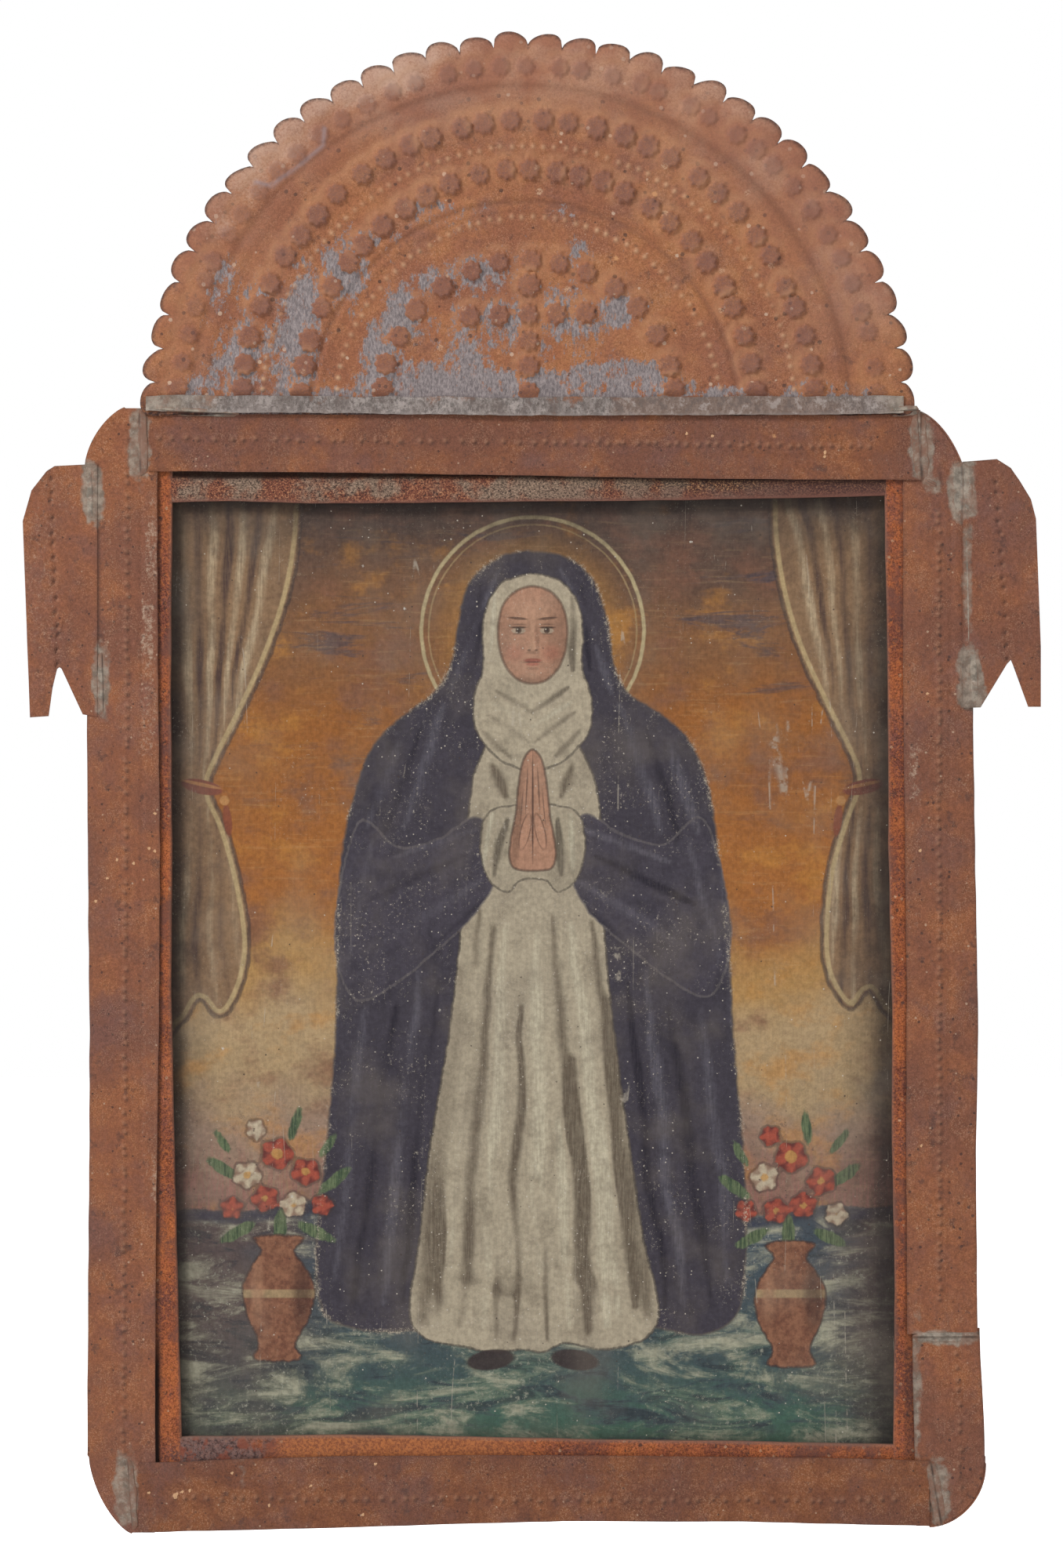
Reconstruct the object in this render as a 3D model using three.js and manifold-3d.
// A framed retablo: an oil painting on a sheet of tinplate, in a soldered tinwork frame with a
// punched half-round crest and two notched side wings. Millimetres, +Z up. The picture faces -Y
// and hangs against a wall at y = 0, and the origin is the middle of its back.
import * as THREE from "three";
import Module from "manifold-3d";
import { mergeVertices } from "three/addons/utils/BufferGeometryUtils.js";

// Sheet metal.
const tin = 0.5; // gauge of the tinplate
const seam = 0.25; // film of solder or air between two lapped sheets

// The painted panel is a stock 10 x 14 inch sheet, and stands behind four folded liners.
const panelWidth = 254;
const panelHeight = 355.6;
const panelPlay = 0.5; // free space between the panel's edge and the liner's wall
const recess = 4; // depth of the liners in front of the painting
const sideCover = 8.5; // what a side liner hides of the panel
const topCover = 22.5;
const bottomCover = 21.5;

// Front strips. The rails lap over the stiles, and the stiles over the liners.
const stileWidth = 23;
const stileLap = 4; // stile over the liner, from the liner's outside
const railHeight = 22.4;
const topRailLap = 15.1; // rail over the liner, from the liner's outside
const bottomRailLap = 17;
const topRailEnd = 4.3; // rail's end past the stile's inner edge
const bottomRailEnd = 9;
const turnedEdge = 2.5; // depth of an edge turned back
const corners = {
  topLeft: { past: 0.8, run: 13, rise: 19, bulge: 1.5 },
  topRight: { past: -0.4, run: 17, rise: 32, bulge: 1.7 },
  bottomLeft: { past: 2.4, run: 15, rise: 25, bulge: 1.5 },
  bottomRight: { past: 0.2, run: 17, rise: 20, bulge: 1.9 },
};
const cornerSteps = 7;

// A later piece replaces the foot of the right stile, and slides under what is left of it.
const spliceHeight = 64; // from the stile's foot up to the visible joint
const spliceLap = 12; // the piece's hidden end, behind the stile
const spliceShift = 2; // it sits this much further out

// Side wings. Heights are from the middle of the back, reaches are from the stile's outer edge
// outwards, and laps are over the stile.
const wings = {
  left: {
    top: 167.8, bottom: 84.3, reachTop: 22.2, reachBottom: 19.7, lapTop: 1.5, lapBottom: 3.3,
    shoulderRun: 12, shoulderDrop: 16.5, notchReach: 10, notchRise: 16.5, outerTine: 6.2, innerTine: 5.6,
  },
  right: {
    top: 169, bottom: 87.4, reachTop: 19.6, reachBottom: 21.3, lapTop: 4.3, lapBottom: 1.7,
    shoulderRun: 13, shoulderDrop: 18.5, notchReach: 11.2, notchRise: 15.3, outerTine: 4.2, innerTine: 2.8,
  },
};
const shoulderSteps = 5;

// Crest: a half disc with a scalloped rim, two raised arches and arches of punched bosses. An arch
// is given by its distance from the rim at the side and at the top.
const crestRadius = 128.7;
const crestShift = -1.6; // the crest sits a little to the left of the middle
const crestDrop = 1.8; // the disc's centre, below the crest's straight foot
const crestLap = 1.5; // crest's foot over the top rail
const scallops = 34;
const scallopRadius = 6.1;
const scallopSteps = 6;
const bossRadius = 3.7;
const bossHeight = 1.3;
const bossSides = 8;
const bossArches = [
  { side: 12.5, top: 11, count: 39, first: 4 },
  { side: 33.3, top: 29, count: 32, first: 4.4 },
  { side: 52.7, top: 45.5, count: 27, first: 5.5 },
  { side: 79, top: 75.4, count: 15, first: 8.3 },
];
const bossCrown = 0.6; // flat top of a boss, as a share of its radius
const crossAcross = 9.6; // pitch of the bosses in the middle, which stand in a cross
const crossDown = 8.5;
const crossHeight = 34.8; // the cross's arms, above the disc's centre
const ridges = [
  { fromRim: 19.5, width: 5, height: 0.8 },
  { fromRim: 58.2, width: 4, height: 0.8 },
];
const ridgeSegments = 72;
const footStripHeight = 6.2; // a plain strip along the crest's foot
const footStripDrop = 0.4; // its lower edge, below the crest's foot
const footStripLeft = 127; // its ends, from the crest's middle
const footStripRight = 124;

// Straps behind the crest, and the wire ring that the picture hangs by.
const strapWidth = 12;
const strapOnRail = 17;
const strapOnCrest = 62;
const strapReach = 68; // the outer straps, from the middle
const wireRadius = 0.9;
const ringRadius = 9.5;
const ringSegments = 36;
const ringSides = 8;
const lugWidth = 6;
const lugTail = 8;
const lugPlay = 0.8; // free space round the wire in the lug
const lugSteps = 14;
const lugWrap = 305; // degrees that the lug goes round the wire
const ringRise = 22; // the wire in the lug, above the crest's foot

// Bent tabs that hold the panel from behind.
const tabWidth = 9;
const tabReach = 8.5; // over the panel's back, from the liner's outside
const tabDepth = 4.8; // the leg on the liner's outside
const sideTabs = [-110, 0, 110];
const endTabs = [-84, 84];

// Solder. A bead is smeared over a step between two sheets: onHigh and onLow are its reaches over
// the sheet in front and the one behind. Tacks are short fillets in a corner.
const beadCrown = 0.4;
const beadEdge = 0.12;
const cornerBeads = { onHigh: 3, onLow: 4.2 };
const wingBeadSizes = {
  leftTop: { length: 18, onHigh: 4, onLow: 3.6 },
  leftBottom: { length: 21, onHigh: 3, onLow: 3 },
  rightTop: { length: 20, onHigh: 4.2, onLow: 4.4 },
  rightSeam: { onHigh: 0.9, onLow: 0.8 },
  rightBottom: { length: 19.5, onHigh: 2.4, onLow: 4.2 },
};
const beadInset = 0.8; // from a wing's end to its bead
const spliceBead = { onHigh: 0.8, onLow: 5 };
const crestBeads = {
  left: { length: 29, onHigh: 4.6, onLow: 1.2 },
  right: { length: 6, onHigh: 4, onLow: 1.2 },
};
const strapBead = { onHigh: 3.5, onLow: 3.5 };
const lugBead = { onHigh: 2, onLow: 2 };
const tackLength = 12;
const tackSize = 1.5;
const sideTacks = [-140, -55, 55, 140];
const endTacks = [-95, 95];

// Levels from the wall forwards. Each level is the rear face of a sheet.
const tabRear = 0;
const panelRear = tabRear - tin - seam;
const paintFace = panelRear - tin;
const linerRear = paintFace - recess;
const stileRear = linerRear - tin - seam;
const railRear = stileRear - tin - seam;
const crestRear = railRear - tin - seam;
const footStripRear = crestRear - tin - seam;
const step = tin + seam; // between the faces of two lapped sheets

// Places in the plane of the picture.
const wallX = panelWidth / 2 + panelPlay + tin; // outsides of the liners' walls
const wallZ = panelHeight / 2 + panelPlay + tin;
const openX = panelWidth / 2 - sideCover;
const openTop = panelHeight / 2 - topCover;
const openBottom = panelHeight / 2 - bottomCover;
const stileInner = wallX - stileLap;
const stileOuter = stileInner + stileWidth;
const topRailInner = wallZ - topRailLap;
const topRailOuter = topRailInner + railHeight;
const bottomRailInner = wallZ - bottomRailLap;
const bottomRailOuter = bottomRailInner + railHeight;
const spliceJoint = spliceHeight - bottomRailOuter - corners.bottomRight.past;
const crestFoot = topRailOuter - crestLap;
const crestCentre = crestFoot - crestDrop;
const strapRear = railRear + seam + tin;
const crestStrapRear = crestRear + seam + tin;
const lugInner = wireRadius + lugPlay;
const ringY = crestStrapRear + seam + tin + lugInner;
const ringZ = crestFoot + ringRise;

const rust = material("#7a4a33", 0.85, 0.35);
const brightRust = material("#96502c", 0.9, 0.25);
const crestRust = material("#8f5a3c", 0.8, 0.4);
const agedTin = material("#77736c", 0.6, 0.7);
const solderGrey = material("#827e73", 0.55, 0.7);
const oilPaint = material("#7d6650", 0.55, 0);
const iron = material("#4a3f38", 0.7, 0.6);

const wasm = await Module();
wasm.setup();

function material(color, roughness, metalness) {
  return new THREE.MeshStandardMaterial({ color, roughness, metalness });
}

function piece(name, geometry, finish) {
  const mesh = new THREE.Mesh(geometry, finish);
  mesh.name = name;
  return mesh;
}

// Half a turn in the plane of the picture, for what is alike on two sides of it.
function facing(mesh, side) {
  mesh.rotation.y = side > 0 ? 0 : Math.PI;
  return mesh;
}

function solid(geometry) {
  const bare = geometry.clone();
  bare.deleteAttribute("normal");
  bare.deleteAttribute("uv");
  const merged = mergeVertices(bare, 1e-4);
  const vertProperties = new Float32Array(merged.attributes.position.array);
  const triVerts = new Uint32Array(merged.index.array);
  return new wasm.Manifold(new wasm.Mesh({ numProp: 3, vertProperties, triVerts }));
}

function geometryOf(made) {
  const mesh = made.getMesh();
  const geometry = new THREE.BufferGeometry();
  geometry.setAttribute("position", new THREE.BufferAttribute(new Float32Array(mesh.vertProperties), 3));
  geometry.setIndex(new THREE.BufferAttribute(new Uint32Array(mesh.triVerts), 1));
  geometry.computeVertexNormals();
  return geometry;
}

function join(...geometries) {
  return geometryOf(geometries.map(solid).reduce((all, next) => all.add(next)));
}

function cut(geometry, ...tools) {
  return geometryOf(tools.map(solid).reduce((left, tool) => left.subtract(tool), solid(geometry)));
}

function point(x, y) {
  return new THREE.Vector2(x, y);
}

function rectangle(left, right, bottom, top) {
  return [point(left, bottom), point(right, bottom), point(right, top), point(left, top)];
}

function mirrored(points) {
  return points.map((p) => point(-p.x, p.y)).reverse();
}

// A sheet with an outline in the plane of the picture, from its rear level forwards.
function sheet(outline, rear, thickness = tin) {
  const geometry = new THREE.ExtrudeGeometry(new THREE.Shape(outline), {
    depth: thickness,
    bevelEnabled: false,
  });
  return geometry.rotateX(Math.PI / 2).translate(0, rear, 0);
}

// A strip bent in the plane of y and z, as wide as given and centred on x = 0.
function bentStrip(profile, width) {
  const shape = new THREE.Shape(profile);
  const geometry = new THREE.ExtrudeGeometry(shape, { depth: width, bevelEnabled: false });
  const turn = new THREE.Matrix4().makeBasis(
    new THREE.Vector3(0, 1, 0),
    new THREE.Vector3(0, 0, 1),
    new THREE.Vector3(1, 0, 0),
  );
  return geometry.applyMatrix4(turn).translate(-width / 2, 0, 0);
}

// One end of a right-hand stile, from its side round to its end. A square end has no corner.
function stileTop(outer, level, corner) {
  if (!corner) return [point(outer, level)];
  const { run, rise, bulge } = corner;
  return Array.from({ length: cornerSteps + 1 }, (_, n) => {
    const turn = (n / cornerSteps) * (Math.PI / 2);
    const across = Math.cos(turn) ** (2 / bulge);
    const along = Math.sin(turn) ** (2 / bulge);
    return point(outer - run * (1 - across), level - rise * (1 - along));
  });
}

function stileFoot(outer, level, corner) {
  return stileTop(outer, -level, corner).map((p) => point(p.x, -p.y)).reverse();
}

// A stile is a flat strip with its straight outer edge turned back between its corners.
function stileStrip(side, inner, foot, top) {
  const edgeStart = foot[foot.length - 1];
  const edgeEnd = top[0];
  const face = [point(inner, foot[0].y), ...foot, ...top, point(inner, top[top.length - 1].y)];
  const edge = rectangle(edgeStart.x - tin, edgeStart.x, edgeStart.y, edgeEnd.y);
  const lay = (points) => (side > 0 ? points : mirrored(points));
  return join(sheet(lay(face), stileRear), sheet(lay(edge), stileRear + turnedEdge, turnedEdge + tin));
}

function leftStile() {
  const { bottomLeft, topLeft } = corners;
  const foot = stileFoot(stileOuter, -bottomRailOuter - bottomLeft.past, bottomLeft);
  const top = stileTop(stileOuter, topRailOuter + topLeft.past, topLeft);
  return piece("stile_left", stileStrip(-1, stileInner, foot, top), rust);
}

// The right stile steps forward over the later piece, and ends at the visible joint.
function rightStile() {
  const stepZ = spliceJoint + spliceLap + seam;
  const top = stileTop(stileOuter, topRailOuter + corners.topRight.past, corners.topRight);
  const strip = stileStrip(1, stileInner, stileFoot(stileOuter, stepZ), top);
  const lap = sheet(rectangle(stileInner, stileOuter, spliceJoint, stepZ + tin), railRear);
  const joggle = sheet(rectangle(stileInner, stileOuter, stepZ, stepZ + tin), stileRear, step + tin);
  return piece("stile_right", join(strip, lap, joggle), rust);
}

function stileSplice() {
  const inner = stileInner + spliceShift;
  const outer = stileOuter + spliceShift;
  const { bottomRight } = corners;
  const foot = stileFoot(outer, -bottomRailOuter - bottomRight.past, bottomRight);
  const top = stileTop(outer, spliceJoint + spliceLap);
  return piece("stile_right_splice", stileStrip(1, inner, foot, top), rust);
}

function topRail() {
  const half = stileInner + topRailEnd;
  return piece("rail_top", sheet(rectangle(-half, half, topRailInner, topRailOuter), railRear), rust);
}

// The bottom rail's lower edge is turned back between the stiles.
function bottomRail() {
  const half = stileInner + bottomRailEnd;
  const free = stileInner - seam;
  const face = sheet(rectangle(-half, half, -bottomRailOuter, -bottomRailInner), railRear);
  const edge = rectangle(-free, free, -bottomRailOuter, tin - bottomRailOuter);
  return piece("rail_bottom", join(face, sheet(edge, railRear + turnedEdge, turnedEdge + tin)), rust);
}

// A liner is a folded channel: a wall outside the panel, a lip in front and a return down to the
// painting. The side liners run the whole height, and the end liners fit between them.
function sideLiner(name, side) {
  const wallRear = panelRear;
  const wall = sheet(rectangle(wallX - tin, wallX, -wallZ, wallZ), wallRear, wallRear - linerRear + tin);
  const lip = sheet(rectangle(openX, wallX, -wallZ, wallZ), linerRear);
  const reach = wallZ - tin - seam;
  const fold = sheet(rectangle(openX, openX + tin, -reach, reach), paintFace - seam, recess - seam + tin);
  return facing(piece(name, join(wall, lip, fold), brightRust), side);
}

function endLiner(name, side, open) {
  const half = openX - seam;
  const wallHalf = wallX - tin - seam;
  const wallRear = panelRear;
  const wall = sheet(
    rectangle(-wallHalf, wallHalf, wallZ - tin, wallZ),
    wallRear,
    wallRear - linerRear - seam,
  );
  const lip = sheet(rectangle(-half, half, open, wallZ), linerRear);
  const corner = sheet(rectangle(-half, half, wallZ - tin, wallZ), linerRear + step, step + tin);
  const fold = sheet(rectangle(-half, half, open, open + tin), paintFace - seam, recess - seam + tin);
  return facing(piece(name, join(wall, lip, corner, fold), brightRust), side);
}

function paintedPanel() {
  const outline = rectangle(-panelWidth / 2, panelWidth / 2, -panelHeight / 2, panelHeight / 2);
  return piece("painted_panel", sheet(outline, panelRear), oilPaint);
}

// A wing's inner edge at a height, from the middle outwards.
function wingInnerEdge(wing, height) {
  const share = (height - wing.bottom) / (wing.top - wing.bottom);
  return stileOuter - wing.lapBottom - (wing.lapTop - wing.lapBottom) * share;
}

function wingPiece(name, side, wing) {
  const outerTop = stileOuter + wing.reachTop;
  const outerBottom = stileOuter + wing.reachBottom;
  const innerBottom = wingInnerEdge(wing, wing.bottom);
  const shoulder = Array.from({ length: shoulderSteps + 1 }, (_, n) => {
    const turn = (n / shoulderSteps) * (Math.PI / 2);
    return point(
      outerTop - wing.shoulderRun * (1 - Math.cos(turn)),
      wing.top - wing.shoulderDrop * (1 - Math.sin(turn)),
    );
  });
  const outline = [
    point(innerBottom, wing.bottom),
    point(innerBottom + wing.innerTine, wing.bottom),
    point(stileOuter + wing.notchReach, wing.bottom + wing.notchRise),
    point(outerBottom - wing.outerTine, wing.bottom),
    point(outerBottom, wing.bottom),
    ...shoulder,
    point(wingInnerEdge(wing, wing.top), wing.top),
  ];
  return piece(name, sheet(side > 0 ? outline : mirrored(outline), railRear), rust);
}

// The crest's outline about the disc's centre: a straight foot, then a lobe for each scallop.
function crestOutline() {
  const lobeCentre = crestRadius - scallopRadius;
  const pitch = Math.PI / scallops;
  const spread = Math.asin(Math.min(1, (lobeCentre * Math.sin(pitch / 2)) / scallopRadius));
  const points = [];
  for (let lobe = 0; lobe < scallops; lobe++) {
    const middle = (lobe + 0.5) * pitch;
    for (let n = 0; n < scallopSteps; n++) {
      const turn = middle - spread + (2 * spread * (n + 0.5)) / scallopSteps;
      const x = lobeCentre * Math.cos(middle) + scallopRadius * Math.cos(turn);
      const y = lobeCentre * Math.sin(middle) + scallopRadius * Math.sin(turn);
      points.push(point(x, Math.max(y, crestDrop)));
    }
  }
  return points;
}

function bossPlaces() {
  const places = bossArches.flatMap(({ side, top, count, first }) =>
    Array.from({ length: count }, (_, n) => {
      const turn = THREE.MathUtils.degToRad(first + (n * (180 - 2 * first)) / (count - 1));
      const across = (crestRadius - side) * Math.cos(turn);
      return point(across, crestDrop + (crestRadius - crestDrop - top) * Math.sin(turn));
    }),
  );
  for (const n of [-2, -1, 1, 2]) places.push(point(n * crossAcross, crossHeight));
  for (const n of [1, 0, -1, -2, -3]) places.push(point(0, crossHeight + n * crossDown));
  return places.filter((place) => place.y > crestDrop);
}

function boss(place) {
  const profile = [
    point(0, -tin / 2),
    point(bossRadius, -tin / 2),
    point(bossRadius, 0),
    point(bossRadius * bossCrown, bossHeight),
    point(0, bossHeight),
  ];
  const dome = new THREE.LatheGeometry(profile, bossSides);
  return dome.rotateX(Math.PI).translate(place.x, crestRear - tin, place.y);
}

function ridge({ fromRim, width, height }) {
  const radius = crestRadius - fromRim;
  const profile = [
    point(radius - width / 2, -tin / 2),
    point(radius + width / 2, -tin / 2),
    point(radius + width / 2, 0),
    point(radius, height),
    point(radius - width / 2, 0),
    point(radius - width / 2, -tin / 2),
  ];
  const hoop = new THREE.LatheGeometry(profile, ridgeSegments).rotateX(Math.PI);
  hoop.translate(0, crestRear - tin, crestDrop);
  const below = rectangle(-crestRadius, crestRadius, -crestRadius, crestDrop + footStripHeight / 2);
  return cut(hoop, sheet(below, crestRear, tin + 2 * height));
}

// The plate is flat where the foot strip lies over it, so the lowest bosses are cut across there.
function crest() {
  const plate = join(sheet(crestOutline(), crestRear), ...ridges.map(ridge), ...bossPlaces().map(boss));
  const stripTop = crestDrop - footStripDrop + footStripHeight + seam;
  const flat = sheet(
    rectangle(-crestRadius, crestRadius, crestDrop - tin, stripTop),
    crestRear - tin,
    2 * bossHeight,
  );
  const made = piece("crest", cut(plate, flat), crestRust);
  made.position.set(crestShift, 0, crestCentre);
  return made;
}

function footStrip() {
  const outline = rectangle(-footStripLeft, footStripRight, 0, footStripHeight);
  const made = piece("crest_foot_strip", sheet(outline, footStripRear), agedTin);
  made.position.set(crestShift, 0, crestFoot - footStripDrop);
  return made;
}

// A strap lies on the back of the top rail, and steps forward on to the back of the crest.
function strap(name, x) {
  const bottom = topRailOuter - strapOnRail;
  const stepZ = topRailOuter + seam;
  const profile = [
    point(strapRear, bottom),
    point(strapRear, stepZ + tin),
    point(crestStrapRear, stepZ + tin),
    point(crestStrapRear, crestFoot + strapOnCrest),
    point(crestStrapRear - tin, crestFoot + strapOnCrest),
    point(crestStrapRear - tin, stepZ),
    point(strapRear - tin, stepZ),
    point(strapRear - tin, bottom),
  ];
  const made = piece(name, bentStrip(profile, strapWidth), agedTin);
  made.position.x = x;
  return made;
}

// The lug is a strip folded round the wire, with its tail soldered to the middle strap.
function hangerLug() {
  const arc = (radius) =>
    Array.from({ length: lugSteps + 1 }, (_, n) => {
      const turn = Math.PI - THREE.MathUtils.degToRad((lugWrap * n) / lugSteps);
      return point(radius * Math.cos(turn), radius * Math.sin(turn));
    });
  const outer = lugInner + tin;
  const profile = [
    point(-outer, -lugTail),
    ...arc(outer),
    ...arc(lugInner).reverse(),
    point(-lugInner, -lugTail),
  ];
  const made = piece("hanger_lug", bentStrip(profile, lugWidth), agedTin);
  made.position.set(0, ringY, ringZ);
  return made;
}

// The ring hangs down from the lug at rest, and turns up and back about the wire in the lug.
function hangingRing() {
  const ring = new THREE.TorusGeometry(ringRadius, wireRadius, ringSides, ringSegments);
  const made = piece("hanging_ring", ring.rotateX(Math.PI / 2), iron);
  made.position.set(0, ringY, ringZ - ringRadius);
  return made;
}

// What lies along an edge is made facing right. Quarters turn it up, left and down.
function along(mesh, quarters, x, y, z, lean = 0) {
  mesh.rotation.y = -quarters * (Math.PI / 2) - lean;
  mesh.position.set(x, y, z);
  return mesh;
}

function upright(profile, length) {
  const shape = new THREE.Shape(profile);
  const geometry = new THREE.ExtrudeGeometry(shape, { depth: length, bevelEnabled: false });
  return geometry.translate(0, 0, -length / 2);
}

function tab(name) {
  const profile = [
    point(-tabReach, -tin),
    point(seam, -tin),
    point(seam, -tabDepth),
    point(seam + tin, -tabDepth),
    point(seam + tin, 0),
    point(-tabReach, 0),
  ];
  return piece(name, upright(profile, tabWidth), agedTin);
}

function tack(name) {
  const profile = [point(seam, seam), point(seam + tackSize, seam), point(seam, seam + tackSize)];
  return piece(name, upright(profile, tackLength), solderGrey);
}

// A bead over a step: the sheet in front ends at x = 0 with its face at y = 0.
function bead(name, length, { onHigh, onLow }, depth = step) {
  const profile = [
    point(-onHigh, -seam),
    point(-onHigh, -seam - beadEdge),
    point(0, -seam - beadCrown),
    point(seam, -seam - beadCrown),
    point(onLow, depth - seam - beadEdge),
    point(onLow, depth - seam),
    point(seam, depth - seam),
    point(seam, -seam),
  ];
  return piece(name, upright(profile, length), solderGrey);
}

function cornerBead(name, side, end, low, high) {
  const made = bead(name, high - low - 2 * beadInset, cornerBeads);
  return along(made, side > 0 ? 0 : 2, side * (stileInner + end), railRear - tin, (low + high) / 2);
}

function wingBead(name, side, wing, shape, low, high) {
  const middle = (low + high) / 2;
  const lean = side * Math.atan((wing.lapTop - wing.lapBottom) / (wing.top - wing.bottom));
  const made = bead(name, high - low, shape);
  return along(made, side > 0 ? 2 : 0, side * wingInnerEdge(wing, middle), railRear - tin, middle, lean);
}

function wingBeads() {
  const { left, right } = wings;
  const { leftTop, leftBottom, rightTop, rightBottom, rightSeam } = wingBeadSizes;
  const top = (wing, size) => [wing.top - beadInset - size.length, wing.top - beadInset];
  const bottom = (wing, size) => [wing.bottom + beadInset, wing.bottom + beadInset + size.length];
  const [seamEnd] = top(right, rightTop);
  const [, seamStart] = bottom(right, rightBottom);
  return [
    wingBead("solder_wing_left_top", -1, left, leftTop, ...top(left, leftTop)),
    wingBead("solder_wing_left_bottom", -1, left, leftBottom, ...bottom(left, leftBottom)),
    wingBead("solder_wing_right_top", 1, right, rightTop, ...top(right, rightTop)),
    wingBead("solder_wing_right_bottom", 1, right, rightBottom, ...bottom(right, rightBottom)),
    wingBead("solder_wing_right_seam", 1, right, rightSeam, seamStart + seam, seamEnd - seam),
  ];
}

function crestBead(name, size, x) {
  const made = bead(name, size.length, size, 2 * step);
  return along(made, 3, crestShift + x, footStripRear - tin, crestFoot - footStripDrop);
}

function frontBeads() {
  const topEnd = crestFoot - footStripDrop - crestBeads.left.onLow;
  const splice = bead("solder_splice", stileWidth - spliceShift - 2 * beadInset, spliceBead);
  const { left, right } = crestBeads;
  return [
    cornerBead("solder_corner_top_left", -1, topRailEnd, topRailInner, topEnd),
    cornerBead("solder_corner_top_right", 1, topRailEnd, topRailInner, topEnd),
    cornerBead("solder_corner_bottom_left", -1, bottomRailEnd, -bottomRailOuter, -bottomRailInner),
    cornerBead("solder_corner_bottom_right", 1, bottomRailEnd, -bottomRailOuter, -bottomRailInner),
    along(splice, 3, (stileInner + stileOuter + spliceShift) / 2, railRear - tin, spliceJoint),
    crestBead("solder_crest_left", left, beadInset - footStripLeft + left.length / 2),
    crestBead("solder_crest_right", right, footStripRight - beadInset - right.length / 2),
  ];
}

// Solder on the back, laid out as on the front and turned round with its group.
function backBeads() {
  const back = new THREE.Group();
  back.rotation.z = Math.PI;
  const strapEnd = crestFoot + strapOnCrest;
  for (const [name, x] of [["left", strapReach], ["middle", 0], ["right", -strapReach]]) {
    const made = bead(`solder_strap_${name}`, strapWidth - 2 * beadInset, strapBead);
    back.add(along(made, 1, x, -crestStrapRear, strapEnd));
  }
  const lugRear = crestStrapRear + step;
  const made = bead("solder_lug", lugWidth - 2 * beadInset, lugBead);
  back.add(along(made, 3, 0, -lugRear, ringZ - lugTail));
  return back;
}

function tabsAndTacks() {
  const places = [
    ["right", 0, (n) => [wallX, n], stileRear],
    ["top", 1, (n) => [n, wallZ], railRear],
    ["left", 2, (n) => [-wallX, n], stileRear],
    ["bottom", 3, (n) => [n, -wallZ], railRear],
  ];
  return places.flatMap(([edge, quarters, at, sheetRear]) => {
    const tabs = quarters % 2 ? endTabs : sideTabs;
    const tacks = quarters % 2 ? endTacks : sideTacks;
    return [
      ...tabs.map((n, index) => {
        const [x, z] = at(n);
        return along(tab(`tab_${edge}_${index + 1}`), quarters, x, tabRear, z);
      }),
      ...tacks.map((n, index) => {
        const [x, z] = at(n);
        return along(tack(`solder_liner_${edge}_${index + 1}`), quarters, x, sheetRear, z);
      }),
    ];
  });
}

const root = new THREE.Group();
root.add(paintedPanel());
root.add(leftStile(), rightStile(), stileSplice(), topRail(), bottomRail());
root.add(sideLiner("liner_left", -1), sideLiner("liner_right", 1));
root.add(endLiner("liner_top", 1, openTop), endLiner("liner_bottom", -1, openBottom));
root.add(wingPiece("wing_left", -1, wings.left), wingPiece("wing_right", 1, wings.right));
root.add(crest(), footStrip());
root.add(strap("strap_left", -strapReach), strap("strap_middle", 0), strap("strap_right", strapReach));
root.add(hangerLug(), hangingRing());
root.add(...tabsAndTacks());
root.add(...wingBeads(), ...frontBeads(), backBeads());
export default root;
